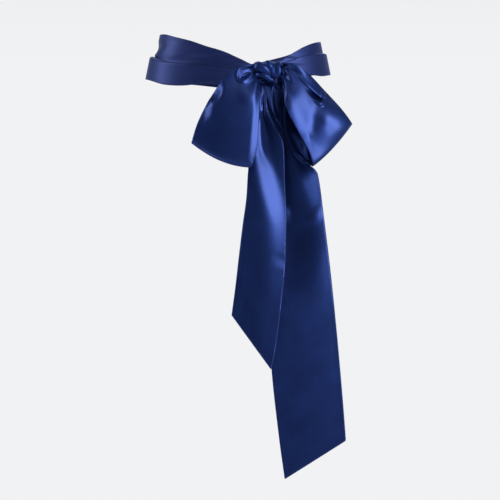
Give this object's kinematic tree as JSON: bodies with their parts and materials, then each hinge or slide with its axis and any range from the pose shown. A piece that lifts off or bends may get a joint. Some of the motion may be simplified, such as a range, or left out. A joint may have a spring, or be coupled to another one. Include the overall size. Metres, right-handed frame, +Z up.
{
  "type": "satin sash",
  "caption": "Satin waist sash worn as a folded ring of cloth and tied at the front in a drooping bow with two slant-cut tails",
  "frame": {"origin": "the middle of the ring at the waist line, where the wearer's waist holds the sash", "axes": "+Z is up along the wearer, the bow is on the -Y side, and +X is to the right of someone who looks at the bow"},
  "size_m": [0.302, 0.4293, 0.6283],
  "materials": {
    "band": "satin, seen on its duller side",
    "bow": "satin, bright side out",
    "tails": "satin, bright side out"
  },
  "bodies": {
    "root": {"band_left": "band", "band_right": "band", "band_back": "band", "knot": "bow", "loop_left": "bow", "loop_right": "bow", "tail_short": "tails", "tail_long": "tails"}
  },
  "joints": []
}
